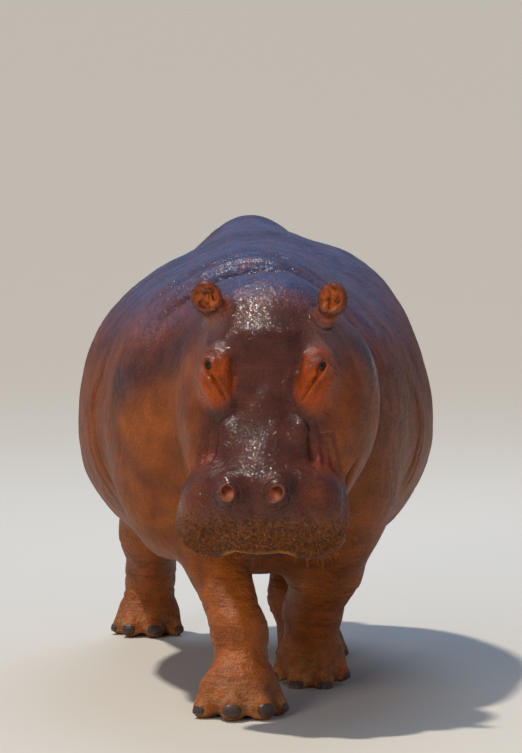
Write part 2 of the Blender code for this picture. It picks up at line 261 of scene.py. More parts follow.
def head_distance(points):
    """The head in its own frame: x to the side, y back from the muzzle, z up from the palate."""
    local = in_half_head(points)
    head = Flesh()
    # braincase, and the straight bridge that runs down from it
    head.add(ellipsoid, 0.0, (0, -0.120, -0.040), (0.170, 0.245, 0.175))
    bridge = [(0, -0.150, 0.015), (0, -0.435, -0.017), (0, -0.620, 0.000)]
    head.add(limb, 0.05, bridge, [0.120, 0.111, 0.122])
    # the snout's shoulders below the eyes
    head.add(ellipsoid, 0.04, (0.104, -0.440, 0.024), (0.036, 0.105, 0.044))
    # temples, cheekbones and the heavy jaw muscles
    head.add(ellipsoid, 0.06, (0.105, -0.190, 0.000), (0.115, 0.165, 0.105))
    head.add(ellipsoid, 0.06, (0.130, -0.330, -0.075), (0.120, 0.190, 0.095))
    head.add(ellipsoid, 0.06, (0.180, -0.250, -0.130), (0.131, 0.270, 0.185))
    head.add(ellipsoid, 0.06, (0.145, -0.460, -0.135), (0.090, 0.220, 0.115))
    # mounds that carry the eyes
    head.add(ellipsoid, 0.040, (0.154, -0.259, 0.080), (0.060, 0.092, 0.066))
    head.add(ellipsoid, 0.030, (0.132, -0.332, 0.062), (0.040, 0.060, 0.046))
    # lower jaw and chin
    head.add(ellipsoid, 0.06, (0, -0.470, -0.168), (0.200, 0.276, 0.105))
    # muzzle, its two lip pads and the nostril mounds
    head.add(ellipsoid, 0.04, (0, -0.655, -0.020), (0.205, 0.142, 0.125))
    head.add(ellipsoid, 0.035, (0.136, -0.628, -0.058), (0.118, 0.142, 0.118))
    head.add(ellipsoid, 0.05, (0.152, -0.690, -0.096), (0.096, 0.080, 0.084))
    head.add(ellipsoid, 0.03, (0.070, -0.668, 0.092), (0.048, 0.060, 0.045))
    # lids close over each eye, and a slanted gap opens between them
    lid = EYE_RADIUS + LID_THICKNESS
    head.add(ellipsoid, 0.018, EYE_PLACE, (lid, lid, lid))
    gap_place = EYE_PLACE + EYE_AXIS * (lid - 0.001)
    head.carve(ellipsoid, 0.005, gap_place, (*LID_OPENING, 0.013), EYE_TURN)
    # nostrils
    head.carve(ellipsoid, 0.010, NOSTRIL_PLACE, (*NOSTRIL_OPENING, 0.042), NOSTRIL_TURN)
    return head.distance(local)


def ear_frame(side):
    place = HEAD_FRAME @ Vector((side * EAR_PLACE.x, EAR_PLACE.y, EAR_PLACE.z))
    turn = Matrix.Rotation(HEAD_YAW - side * math.radians(8), 4, "Z")
    return Matrix.Translation(place) @ turn @ Matrix.Rotation(side * math.radians(16), 4, "Y")


def ear_distance(points, side):
    """A round cupped ear on a short stalk, facing forward."""
    local = in_frame(points, ear_frame(side))
    cup = Flesh()
    cup.add(ellipsoid, 0.0, (0, 0, 0), (EAR_CUP[0], 0.026, EAR_CUP[1]))
    cup.add(limb, 0.02, [(0, 0.010, -0.012), (-side * 0.022, 0.052, -0.068)], [0.028, 0.038])
    cup.carve(ellipsoid, 0.006, (0, -0.030, 0.005), (0.037, 0.030, 0.042))
    # the fold that runs down inside it, with small hollows beside
    cup.add(limb, 0.008, [(-side * 0.014, -0.006, 0.006), (-side * 0.010, -0.020, -0.036)], [0.006, 0.010])
    cup.carve(ellipsoid, 0.006, (side * 0.004, -0.004, -0.006), (0.007, 0.010, 0.009))
    cup.carve(ellipsoid, 0.005, (side * 0.000, -0.004, 0.010), (0.009, 0.007, 0.004))
    return cup.distance(local)


# ---- trunk, legs and tail ----


def build_trunk(flesh):
    half = (BACK_HEIGHT - BELLY_HEIGHT) / 2
    flesh.add(ellipsoid, 0.0, BARREL_MIDDLE, (BARREL_WIDTH / 2, 1.000, half))
    flesh.add(ellipsoid, 0.15, (0.020, 1.25, 0.735), (BARREL_WIDTH / 2 - 0.045, 0.780, 0.355))
    # chest and rump
    flesh.add(ellipsoid, 0.15, (0.025, 0.700, 0.868), (0.435, 0.500, 0.468))
    flesh.add(ellipsoid, 0.15, (0.000, 1.900, 0.900), (0.440, 0.530, 0.480))
    flesh.add(ellipsoid, 0.12, (0.200, 1.450, 1.020), (0.300, 0.550, 0.355))
    # the ridge of the spine
    spine = [(0.04, 0.5, 1.25), (0.015, 1.2, 1.305), (-0.005, 1.85, 1.354), (-0.01, 2.2, 1.19)]
    flesh.add(limb, 0.15, spine, [0.12, 0.11, 0.10, 0.10])
    # neck, deep and as broad as the head
    flesh.add(limb, 0.12, [(0.00, 0.560, 1.000), (0.050, 0.200, 1.090)], [0.385, 0.265])
    flesh.add(limb, 0.10, [(0.00, 0.500, 0.760), (0.035, 0.220, 0.860)], [0.330, 0.225])


# each leg: its joints from the body down to the foot, and how thick it is at each
LEGS = {
    "foreleg_right": (
        [(-0.215, 0.46, 0.68), (-0.105, 0.34, 0.45), (-0.035, 0.19, 0.25), (-0.027, 0.125, 0.09)],
        [0.155, 0.094, 0.080, 0.084],
    ),
    "foreleg_left": (
        [(0.280, 0.46, 0.66), (0.238, 0.62, 0.40), (0.195, 0.77, 0.24), (0.195, 0.82, 0.10)],
        [0.158, 0.110, 0.088, 0.084],
    ),
    "hindleg_right": (
        [(-0.31, 1.86, 0.66), (-0.345, 2.02, 0.36), (-0.353, 2.12, 0.20), (-0.357, 2.12, 0.08)],
        [0.170, 0.105, 0.078, 0.082],
    ),
    "hindleg_left": (
        [(0.26, 1.82, 0.66), (0.165, 1.72, 0.38), (0.140, 1.55, 0.20), (0.180, 1.50, 0.08)],
        [0.180, 0.115, 0.080, 0.084],
    ),
}


def build_legs(flesh):
    # shoulders and thighs stand out a little from the barrel
    flesh.add(ellipsoid, 0.10, (0.298, 0.520, 0.800), (0.150, 0.240, 0.340))
    flesh.add(ellipsoid, 0.10, (-0.260, 0.520, 0.800), (0.160, 0.240, 0.350))
    for side in (1, -1):
        flesh.add(ellipsoid, 0.10, (-0.02 + side * 0.290, 1.880, 0.760), (0.170, 0.290, 0.380))
    for joints, radii in LEGS.values():
        flesh.add(limb, 0.07, joints, radii)


class Foot:
    """A four-toed foot on the floor. lift tips it onto its middle toes, and sink presses them down."""

    # each toe's share of the way across and ahead, and its size
    toes = ((-1.0, -0.30, 0.80), (-0.42, -1.0, 1.0), (0.42, -1.0, 1.0), (1.0, -0.30, 0.80))

    def __init__(self, x, y, heading, width, lift=0.0, sink=0.0):
        self.width = width
        self.frame = Matrix.Translation((x, y, -sink)) @ Matrix.Rotation(math.radians(heading), 4, "Z")
        pivot = Matrix.Translation((0, -0.38 * width, 0.02))
        self.frame = self.frame @ pivot @ Matrix.Rotation(math.radians(lift), 4, "X") @ pivot.inverted()

    def distance(self, points):
        w = self.width
        local = in_frame(points, self.frame)
        foot = Flesh()
        foot.add(ellipsoid, 0.0, (0, 0.09 * w, 0.23 * w), (0.34 * w, 0.41 * w, 0.28 * w))
        for across, ahead, size in self.toes:
            root = (0.25 * across * w, 0.12 * ahead * w, 0.30 * w)
            tip = (0.375 * across * w, 0.38 * ahead * w, 0.115 * w * size)
            foot.add(limb, 0.15 * w, [root, tip], [0.16 * w * size, 0.130 * w * size])
        return foot.distance(local)

    def nail_frames(self):
        """Each nail's frame, with -y out of the toe and z up it, and its size."""
        w = self.width
        for across, ahead, size in self.toes:
            heading = Vector((0.46 * across, ahead, 0)).normalized()
            place = Vector((0.375 * across * w, 0.38 * ahead * w, 0.112 * w * size))
            place += heading * 0.092 * w * size
            turn = heading.to_track_quat("-Y", "Z").to_matrix().to_4x4() @ NAIL_TILT
            yield self.frame @ Matrix.Translation(place) @ turn, w * size


# each foot: where it stands, the way it points in degrees, its width, lift and sink
FEET = {
    "forefoot_right": Foot(-0.040, 0.105, 14, 0.31),
    "forefoot_left": Foot(0.190, 0.825, 0, 0.265, 18, 0.007),
    "hindfoot_right": Foot(-0.357, 2.110, -12, 0.265),
    "hindfoot_left": Foot(0.200, 1.480, 6, 0.25),
}
TAIL_JOINTS = [(-0.02, 2.33, 1.16), (-0.02, 2.455, 1.06), (-0.025, 2.485, 0.90), (-0.03, 2.480, 0.74)]
TAIL_RADII = [0.050, 0.040, 0.027, 0.014]


def trunk_distance(points):
    flesh = Flesh()
    build_trunk(flesh)
    build_legs(flesh)
    for foot in FEET.values():
        flesh.add(foot.distance, 0.05)
    flesh.add(limb, 0.05, TAIL_JOINTS, TAIL_RADII)
    return flesh.distance(points)


def head_with_ears(points):
    flesh = Flesh()
    flesh.add(head_distance, 0.0)
    for side in (1, -1):
        flesh.add(ear_distance, 0.018, side)
    return flesh.distance(points)


def skin_distance(points):
    """The whole animal. Masses too far from a point to shape the skin there are left out of its sum."""
    gap = trunk_distance(points)
    local = in_half_head(points)
    near = (local[:, 0] < 0.45) & (np.abs(local[:, 1] + 0.3) < 0.7) & (np.abs(local[:, 2]) < 0.5)
    gap[near] = smooth_min(gap[near], head_with_ears(points[near]), 0.07)
    return gap


# ---- meshing ----


def slab(grid, axis, low, high):
    """The part of a grid from low to high along one axis."""
    return grid[(slice(None),) * axis + (slice(low, high),)]


def surface_of(distance, low, high, cell):
    """A closed mesh of the places where distance is zero: a point in each cell that the surface crosses."""
    axes = [np.arange(lo - cell, hi + 2 * cell, cell) for lo, hi in zip(low, high)]
    corners = np.stack(np.meshgrid(*axes, indexing="ij"), -1)
    value = distance(corners)
    inside = value < 0
    cells = tuple(n - 1 for n in value.shape)
    # each cell's point is the mean of the places where the surface crosses its twelve edges
    total, count = np.zeros(cells + (3,)), np.zeros(cells)
    for axis in range(3):
        start, end = slab(corners, axis, 0, -1), slab(corners, axis, 1, None)
        here, there = slab(value, axis, 0, -1), slab(value, axis, 1, None)
        crossing = slab(inside, axis, 0, -1) != slab(inside, axis, 1, None)
        share = np.where(crossing, here / np.where(crossing, here - there, 1), 0)
        place = start + share[..., None] * (end - start)
        one, two = (a for a in range(3) if a != axis)
        for da, db in itertools.product((0, 1), repeat=2):
            spots, edges = (slab(slab(grid, one, da, da + cells[one]), two, db, db + cells[two])
                            for grid in (place, crossing))
            total += spots * edges[..., None]
            count += edges
    used = count > 0
    index = np.full(cells, -1)
    index[used] = np.arange(used.sum())
    vertices = total[used] / count[used][:, None]
    # a face across each crossed edge, through the four cells round it
    faces = []
    for axis in range(3):
        one, two = (axis + 1) % 3, (axis + 2) % 3
        middle = slab(slab(inside, one, 1, -1), two, 1, -1)
        here, there = slab(middle, axis, 0, -1), slab(middle, axis, 1, None)
        around = np.stack([
            slab(slab(index, one, da, da + cells[one] - 1), two, db, db + cells[two] - 1)
            for da, db in ((0, 0), (1, 0), (1, 1), (0, 1))
        ], -1)
        faces += [around[here & ~there], around[~here & there][:, ::-1]]
    return vertices, np.concatenate(faces)


def slope_of(points, distance, gap):
    """The direction in which the distance grows, as unit normals of the form."""
    step = 0.0008
    slope = np.stack([distance(points + np.eye(3)[axis] * step) - gap for axis in range(3)], -1) / step
    return unit(slope)


def settle(points, steps):
    """Move the points onto the form, and give its normals there."""
    for _ in range(steps):
        gap = skin_distance(points)
        normals = slope_of(points, skin_distance, gap)
        points = points - normals * np.clip(gap, -0.02, 0.02)[:, None]
    return points, normals


def divide(made, chosen):
    """Split in four each face whose middle is chosen."""
    mesh = made.data
    picked = np.flatnonzero(chosen(read(mesh.polygons, "center", 3)))
    form = bmesh.new()
    form.from_mesh(mesh)
    form.faces.ensure_lookup_table()
    edges = list({edge for i in picked for edge in form.faces[i].edges})
    bmesh.ops.subdivide_edges(form, edges=edges, cuts=1, use_grid_fill=True)
    form.to_mesh(mesh)
    form.free()


def near_face(points):
    """The head and ears, whose faces are divided once."""
    side, along, up = in_half_head(points).T
    return (side < 0.40) & (along < 0.03) & (along > -0.9) & (up > -0.36)


def near_detail(points):
    """Round the eyes, nostrils and ears, divided once more."""
    local = in_half_head(points)
    chosen = np.zeros(len(points), bool)
    for place, reach in ((EYE_PLACE, 0.065), (NOSTRIL_PLACE, 0.060), (EAR_PLACE, 0.075)):
        chosen |= lengths(local - np.array(place)) < reach
    return chosen


def mesh_skin():
    trunk = surface_of(trunk_distance, (-0.65, -0.06, -0.10), (0.65, 2.60, 1.55), BODY_CELL)
    head = surface_of(head_with_ears, (-0.32, -0.56, 0.44), (0.50, 0.42, 1.46), HEAD_CELL)
    vertices = np.concatenate([trunk[0], head[0]])
    faces = trunk[1].tolist() + (head[1] + len(trunk[0])).tolist()
    mesh = bpy.data.meshes.new("skin")
    mesh.from_pydata(vertices.tolist(), [], faces)
    made = add_object("skin", mesh)
    remesh = made.modifiers.new("Remesh", "REMESH")
    remesh.mode = "VOXEL"
    remesh.voxel_size = VOXEL
    apply_modifiers(made)
    points, _ = settle(places(made.data), SETTLE_STEPS)
    put_places(made.data, points)
    divide(made, near_face)
    divide(made, near_detail)
    return made


# ---- folds and wrinkles ----


def curve(path, count=10):
    """Points along a smooth curve through the path's points."""
    path = np.array(path, float)
    ends = np.concatenate([[2 * path[0] - path[1]], path, [2 * path[-1] - path[-2]]])
    line = []
    for a, b, c, d in zip(ends, ends[1:], ends[2:], ends[3:]):
        for t in np.linspace(0, 1, count, endpoint=False):
            line.append(0.5 * (2 * b + (c - a) * t + (2 * a - 5 * b + 4 * c - d) * t**2
                               + (3 * b - a - 3 * c + d) * t**3))
    return np.array(line + [path[-1]])


def path_gap(points, path):
    """Distance to a smooth line through the path, and how far along it the nearest place is."""
    line = curve(path)
    best = np.full(len(points), np.inf)
    along = np.zeros(len(points))
    for i, (start, end) in enumerate(zip(line, line[1:])):
        step = end - start
        share = np.clip(((points - start) @ step) / (step @ step), 0, 1)
        gap = lengths(points - start - share[:, None] * step)
        nearer = gap < best
        best[nearer] = gap[nearer]
        along[nearer] = (i + share[nearer]) / (len(line) - 1)
    return best, along


def crease(gap, width, depth):
    """A soft groove of that depth, with the skin swelling a little on both sides of it."""
    return depth * (0.4 * hill(gap - 2.1 * width, 1.1 * width) - hill(gap, width))


def fading(along):
    """1 in the middle of a fold, 0 at its ends."""
    return ramp(along, 0, 0.35) * ramp(1 - along, 0, 0.35)


# Folds of the face, as seen square onto it: the path (out from the middle, along the head), width and depth.
FACE_FOLDS = [
    # below the eye, from its corner down to the bridge, and a crease over the lid
    ([(0.186, -0.257), (0.160, -0.299), (0.130, -0.335), (0.104, -0.371)], 0.0050, 0.0085),
    ([(0.146, -0.233), (0.160, -0.215), (0.182, -0.209), (0.202, -0.223)], 0.0040, 0.0035),
    ([(0.206, -0.249), (0.190, -0.295), (0.160, -0.339), (0.130, -0.375)], 0.0050, 0.0040),
    # between the mound of the eye and the bridge
    ([(0.114, -0.187), (0.101, -0.237), (0.097, -0.297), (0.101, -0.352)], 0.0130, 0.0085),
    # down the side of the snout
    ([(0.118, -0.365), (0.139, -0.420), (0.146, -0.470), (0.156, -0.525), (0.176, -0.570)], 0.0085, 0.0055),
    ([(0.150, -0.375), (0.174, -0.435), (0.181, -0.490), (0.194, -0.555)], 0.0064, 0.0055),
    ([(0.180, -0.400), (0.198, -0.470), (0.212, -0.540)], 0.0060, 0.0045),
    ([(0.205, -0.390), (0.220, -0.450), (0.232, -0.510)], 0.0080, 0.0035),
]
# low bosses and hollows of the brow and muzzle: place on the face, how wide and how high
FACE_BOSSES = [
    ((0.060, -0.165), 0.026, 0.0055),
    ((0.000, -0.085), 0.028, 0.0045),
    ((0.000, -0.200), 0.040, -0.0050),
    ((0.130, -0.600), 0.034, 0.0090),
    ((0.000, -0.560), 0.040, 0.0040),
    ((0.000, -0.340), 0.048, 0.0075),
    ((0.000, -0.465), 0.044, -0.0065),
    ((0.078, -0.310), 0.024, 0.0080),
    ((0.122, -0.425), 0.024, 0.0090),
]
# Folds of the flanks, as seen from the side: the path (along the body, height), width and depth.
FLANK_FOLDS = [
    ([(0.700, 1.060), (0.745, 0.900), (0.735, 0.740), (0.660, 0.600)], 0.016, 0.012),
    ([(0.800, 0.960), (0.830, 0.820), (0.800, 0.680), (0.730, 0.570)], 0.014, 0.008),
    ([(1.600, 0.980), (1.560, 0.820), (1.580, 0.660), (1.660, 0.520)], 0.016, 0.011),
    ([(1.510, 0.860), (1.490, 0.740), (1.520, 0.610)], 0.014, 0.006),
    ([(2.240, 1.080), (2.200, 0.920), (2.180, 0.760)], 0.014, 0.006),
]
# rings round the neck: how far behind the skull, width and depth; and round the legs: height and depth
NECK_RINGS = [(0.175, 0.018, 0.020), (0.262, 0.015, 0.008), (0.345, 0.016, 0.006)]
LEG_RINGS = [(0.128, 0.0030), (0.158, 0.0022), (0.205, 0.0026), (0.262, 0.0018), (0.330, 0.0024)]
MOUND_PLACE = (0.152, -0.277, 0.085)  # the mound that carries an eye, and how far it reaches
MOUND_SIZE = (0.072, 0.118, 0.085)
LIP_DROP = 0.062  # how much lower the lips meet at the sides of the muzzle than in its middle


class Zones:
    """Where each point of the skin lies: on the head, by an eye, on a leg and so on."""

    def __init__(self, points, normals):
        self.points = points
        self.normals = normals
        self.right = in_head(points)[:, 0] < 0
        self.face = in_half_head(points)
        side, along, up = self.face.T
        self.on_head = ramp(-along, -0.06, 0.08) * ramp(up, -0.40, -0.30)
        self.front = self.on_head * ramp((normals @ HEAD_AXES)[:, 2], -0.1, 0.3) * ramp(up, -0.08, -0.03)
        self.eye = lengths(self.face - np.array(EYE_PLACE))
        mound = (self.face - MOUND_PLACE) / MOUND_SIZE
        self.mound = lengths(mound)
        opening = (self.face - np.array(NOSTRIL_PLACE)) @ np.array(NOSTRIL_TURN)
        self.nostril_depth = opening[:, 2]
        self.nostril_down = opening[:, 1]
        self.nostril = lengths(opening[:, :2] / NOSTRIL_OPENING)
        self.nostril_gap = lengths(opening)
        ears = [in_frame(points, ear_frame(side)) for side in (1, -1)]
        self.ear = np.minimum(*[lengths(ear - (0, 0.01, -0.01)) for ear in ears])
        cups = [lengths(ear * (1, 0.6, 0.9)) for ear in ears]
        self.in_ear = 1 - ramp(np.minimum(*cups), 0.030, 0.038)
        self.leg = np.zeros(len(points))
        for joints, _ in LEGS.values():
            self.leg = np.maximum(self.leg, 1 - ramp(line_gap(points, joints), 0.16, 0.24))
        self.leg *= 1 - ramp(points[:, 2], 0.42, 0.62)
        self.lip_line = MOUTH_FRONT.z + MOUTH_RISE * (along - MOUTH_FRONT.y)
        self.lip_line -= LIP_DROP * ramp(side, 0.05, 0.17)
        self.lip = up - self.lip_line
        self.mouth = self.on_head * ramp(-along, 0.40, 0.54)


def face_relief(zones):
    side, along, up = zones.face.T
    flat = zones.face[:, :2]
    relief = np.zeros(len(flat))
    for path, width, depth in FACE_FOLDS:
        gap, share = path_gap(flat, path)
        relief += crease(gap, width, depth) * fading(share) * zones.front
    for place, width, height in FACE_BOSSES:
        relief += height * hill(lengths(flat - place), width) * zones.front
    # the brow stands up from the crown and falls away to the bridge
    relief += 0.0120 * hill(along + 0.158, 0.046) * hill(side, 0.105) * zones.front
    # raised rims of the nostrils, with a crease round them on the inner side
    near = 1 - ramp(zones.nostril_gap, 0.055, 0.075)
    relief += 0.0050 * hill(zones.nostril - 1.22, 0.16) * near * ramp(zones.nostril_depth, -0.03, -0.01)
    inner = ramp(NOSTRIL_PLACE.x + 0.02 - side, 0, 0.03)
    relief += crease((zones.nostril - 1.85) * 0.025, 0.0035, 0.0035) * near * inner
    # small arched wrinkles over the nostrils, and the groove under them
    over = hill(along + 0.600, 0.030) * hill(side - 0.06, 0.05) * zones.front
    relief += 0.0016 * np.sin((along + 7 * (side - 0.07) ** 2) * 480) * over
    below = ramp(-along, 0.69, 0.73) * (up > zones.lip_line)
    relief -= 0.0040 * hill(side, 0.011) * below * zones.on_head
    # the lips meet in a line with a full upper and a thinner lower lip
    for height, place, width in ((0.0070, 0.026, 0.020), (0.0060, -0.026, 0.014), (-0.0160, 0, 0.0065)):
        relief += zones.mouth * height * hill(zones.lip - place, width)
    # knobbly skin where the bristles grow
    ear = 1 - ramp(zones.ear, 0.060, 0.080)
    relief += ear * (0.0016 * noise(zones.points, 0.012, 13) + 0.0014 * noise(zones.points, 0.030, 14))
    pad = ramp(-along, 0.64, 0.72) * zones.on_head * ramp(zones.nostril, 1.4, 2.0)
    relief += pad * (0.0016 * noise(zones.points, 0.010, 5) + 0.0022 * noise(zones.points, 0.024, 6))
    return relief


def body_relief(zones):
    points = zones.points
    relief = np.zeros(len(points))
    drift = 0.020 * noise(points, 0.16, 1)
    # rings round the neck, deep over the nape and weaker to the sides
    back = (points - np.array(HEAD_JOINT)) @ np.array(HEAD_AIM.to_3x3() @ Vector((0, 1, 0.15)).normalized())
    upper = ramp(points[:, 2], 1.12, 1.36)
    for place, width, depth in NECK_RINGS:
        behind = ramp(points[:, 2], 0.55, 0.75) * (zones.on_head < 0.9)
        relief += crease(back - place - drift, width, depth) * upper * behind
    # flanks
    aside = np.abs(zones.normals[:, 0])
    flat = points[:, 1:] + drift[:, None]
    for path, width, depth in FLANK_FOLDS:
        gap, along = path_gap(flat, path)
        relief += crease(gap, width, depth) * fading(along) * ramp(aside, 0.30, 0.65) * (1 - zones.on_head)
    # rings round the legs
    height = points[:, 2] + 0.010 * noise(points, 0.07, 2)
    for place, depth in LEG_RINGS:
        relief += crease(height - place, 0.0065, depth) * zones.leg
    # the unevenness of heavy hide
    trunk = (1 - zones.on_head) * (1 - 0.6 * zones.leg)
    relief += trunk * (0.0060 * noise(points, 0.22, 3) + 0.0028 * noise(points, 0.075, 4))
    upright = points * (1, 1, 0.30)
    relief += (1 - zones.on_head) * 0.0014 * noise(upright, 0.022, 7)
    return relief


def fold(points, normals):
    """The points moved to the folded skin, and how deep in a crease each lies, from 0 to 1, which the hide
    darkens as painted shade.
    """
    zones = Zones(points, normals)
    relief = face_relief(zones) + body_relief(zones)
    moved = points + normals * relief[:, None]
    moved[:, 2] = np.maximum(moved[:, 2], FLOOR_CLEARANCE)
    return moved, ramp(-relief, 0.001, 0.008), zones


def add_mark(mesh, name, values):
    mark = mesh.attributes.new(name, "FLOAT", "POINT")
    mark.data.foreach_set("value", np.clip(values, 0, 1).astype(np.float32))


def mark_face(mesh, zones, wander):
    """Rust round the eyes and ears, raw nostrils with painted shade deep inside, folds, painted sheen on the
    temples, and the muzzle's stubble and its lip, painted as if lit.
    """
    side, along, up = zones.face.T
    rust = (1 - ramp(zones.mound + 0.16 * wander, 0.62, 1.10)) * zones.on_head
    ear = 1 - ramp(zones.ear, 0.062, 0.085)
    add_mark(mesh, "rust", np.maximum(rust, ear * (0.50 + 0.5 * wander)))
    add_mark(mesh, "hollow", zones.in_ear)
    inside = (1 - ramp(zones.nostril, 0.90, 1.10)) * (1 - ramp(zones.nostril_depth, -0.006, 0.002))
    add_mark(mesh, "nostril", inside * (1 - ramp(zones.nostril_gap, 0.06, 0.07)))
    # painted shade deep inside the nostrils, darkest towards their upper end
    upper = ramp(-zones.nostril_down, -0.012, 0.010)
    add_mark(mesh, "deep", ramp(-zones.nostril_depth, 0.006, 0.022) * (0.25 + 0.75 * upper))
    rim = hill(zones.nostril - 1.10, 0.075) * (zones.nostril_gap < 0.05)
    # painted sheen on the temples, pale through the rim mark and a little blue through the sky sheen
    temple_sheen = hill(along + 0.13, 0.06) * hill(side - 0.17, 0.05) * zones.front
    add_mark(mesh, "rim", np.maximum(rim, 0.9 * temple_sheen))
    add_mark(mesh, "pink", 0.8 * hill(side - 0.175, 0.045) * hill(along + 0.515, 0.050) * zones.front)
    low = -along - 0.685 + 0.45 * (0.02 - up).clip(-0.1, 0.12)
    pad = ramp(low + 0.03 * wander, 0, 0.105) * zones.on_head * (zones.lip > -0.002)
    add_mark(mesh, "stubble", pad)
    # the ochre lip, painted brighter than its own colour as if lit, though it faces down
    lip = hill(zones.lip + 0.022, 0.012) * ramp(-along, 0.64, 0.71) * zones.on_head
    add_mark(mesh, "lit_ochre", lip * (1 - ramp(side, 0.09, 0.13)))
    return temple_sheen, pad


def mark_skin(mesh, zones, crease_shade):
    """The markings that the skin's and the bristles' materials read, painted shade and sheen among them."""
    points, upward = zones.points, zones.normals[:, 2]
    side, along, _ = zones.face.T
    wander = noise(points, 0.05, 8) * 0.5 + noise(points, 0.015, 9) * 0.3
    trunk = 1 - zones.on_head
    # painted shade in the creases, grooves and hollows of the folded skin
    add_mark(mesh, "crease", crease_shade)
    add_mark(mesh, "head", zones.on_head)
    temple_sheen, pad = mark_face(mesh, zones, wander)
    # painted reflection of a blue sky on the upward faces of the back, fading towards the tail, and a little
    # at the temples
    sky_sheen_mask = ramp(upward + 0.15 * wander, 0.30, 0.95) * ramp(points[:, 2], 0.80, 1.00)
    sky_sheen_mask *= 1 - 0.8 * ramp(points[:, 1], 2.20, 2.38)
    add_mark(mesh, "sky_sheen", sky_sheen_mask * trunk + 0.15 * temple_sheen)
    low_down = 1 - ramp(points[:, 2] + 0.06 * wander, 0.45, 1.15)
    cheek = ramp(side, 0.15, 0.24) * ramp(-along, 0.08, 0.22) * ramp(0.62 + along, 0, 0.10)
    cheek = np.maximum(cheek, 0.55 * ramp(side, 0.10, 0.19) * ramp(-along, 0.56, 0.64))
    add_mark(mesh, "warm", np.maximum(low_down * trunk, cheek * zones.on_head * (1 - zones.front * 0.2)))
    bridge = hill(side, 0.070) * ramp(-along, 0.15, 0.24) * ramp(0.48 + along, 0, 0.06)
    add_mark(mesh, "sleek", zones.front * np.maximum(bridge, ramp(side, 0.19, 0.24)))
    wet = np.maximum(zones.front, zones.on_head * ramp(upward, 0.0, 0.4))
    wet = np.maximum(wet, 0.60 * ramp(upward, 0.35, 0.80) * ramp(points[:, 2], 0.80, 1.00))
    add_mark(mesh, "wet", wet * (1 - 0.5 * pad))
    add_mark(mesh, "leg", zones.leg)
    add_mark(mesh, "dust", 1 - ramp(points[:, 2] + 0.03 * wander, 0.01, 0.16))


# ---- materials ----


class Nodes:
    """The nodes of a material or world. Every input may be a number, a colour or another node's output."""

    def __init__(self, tree):
        self.tree = tree

    def put(self, socket, value):
        if isinstance(value, bpy.types.NodeSocket):
            self.tree.links.new(value, socket)
        elif isinstance(value, tuple) and socket.type == "RGBA":
            socket.default_value = (*value, 1)
        else:
            socket.default_value = value

    def node(self, kind, inputs, output, **settings):
        """A new node with those settings and inputs. Gives one of its outputs."""
        node = self.tree.nodes.new("ShaderNode" + kind)
        for name, value in settings.items():
            setattr(node, name, value)
        for name, value in inputs.items():
            self.put(node.inputs[name], value)
        return node.outputs[output]

    def step(self, value, low, high, to_low=0.0, to_high=1.0):
        names = ("Value", "From Min", "From Max", "To Min", "To Max")
        inputs = dict(zip(names, (value, low, high, to_low, to_high)))
        return self.node("MapRange", inputs, "Result", interpolation_type="SMOOTHSTEP")

    def math(self, operation, a, b=0.0):
        return self.node("Math", {0: a, 1: b}, "Value", operation=operation)

    def times(self, a, b):
        return self.math("MULTIPLY", a, b)

    def plus(self, a, b):
        return self.math("ADD", a, b)

    def less(self, value):
        """1 minus the value."""
        return self.math("SUBTRACT", 1.0, value)

    def mix(self, a, b, share):
        return self.node("Mix", {"Factor": share, 6: a, 7: b}, 2, data_type="RGBA")

    def dim(self, colour, share):
        return self.node("VectorMath", {0: colour, "Scale": share}, 0, operation="SCALE")


class Surface(Nodes):
    """A material. Its patterns are laid out in metres, in the object's own space."""

    def __init__(self, name):
        self.material = bpy.data.materials.new(name)
        self.material.use_nodes = True
        super().__init__(self.material.node_tree)
        self.place = self.node("TexCoord", {}, "Object")

    def shine(self, **inputs):
        for name, value in inputs.items():
            self.put(self.tree.nodes["Principled BSDF"].inputs[name.replace("_", " ")], value)

    def mark(self, name, share=None):
        """The mesh's mark of that name, times a share."""
        mark = self.node("Attribute", {}, "Fac", attribute_name=name)
        return mark if share is None else self.times(mark, share)

    def stretch(self, scale):
        return self.node("Mapping", {"Vector": self.place, "Scale": scale}, "Vector")

    def noise(self, size, detail=3.0, place=None, distortion=0.0):
        """Smooth noise from 0 to 1 with features about size metres across."""
        inputs = {"Vector": place or self.place, "Scale": 1 / size}
        return self.node("TexNoise", {**inputs, "Detail": detail, "Distortion": distortion}, "Fac")

    def cells(self, size, feature="F1", place=None):
        """Distance from the middles, or the edges, of cells about size metres across."""
        inputs = {"Vector": place or self.place, "Scale": 1 / size}
        return self.node("TexVoronoi", inputs, "Distance", feature=feature)

    def bump(self, height, depth, below=None):
        """Relief of that depth in metres, on top of the relief below."""
        inputs = {"Distance": depth, "Height": height}
        if below is not None:
            inputs["Normal"] = below
        return self.node("Bump", inputs, "Normal")


# colours of the hide, as linear red, green and blue
BROWN = (0.150, 0.036, 0.010)
CROWN = (0.052, 0.017, 0.013)
# blue of a painted sky reflection on upward faces
SKY_SHEEN_BLUE = (0.034, 0.055, 0.130)
WARM = (0.250, 0.062, 0.006)
RUST = (0.290, 0.046, 0.001)
PINK = (0.220, 0.040, 0.022)
STUBBLE = (0.230, 0.064, 0.006)
SOOT = (0.026, 0.009, 0.004)
# ochre of the lip, painted bright as if lit
LIT_OCHRE = (0.420, 0.150, 0.012)
BLOTCH = (0.180, 0.030, 0.010)
DUST = (0.290, 0.150, 0.065)
# near black, for the painted shade in creases
CREASE_SHADE = (0.016, 0.006, 0.003)
# paler nostril rims, and the painted sheen on the temples
PALE_RIM_AND_SHEEN = (0.260, 0.130, 0.105)
RAW = (0.520, 0.120, 0.050)
RAW_PALE = (0.850, 0.360, 0.210)
NOSTRIL_SHADE = (0.060, 0.010, 0.004)
TAN = (0.350, 0.076, 0.013)
TAN_DARK = (0.080, 0.018, 0.004)
SCRATCH = (0.340, 0.220, 0.160)


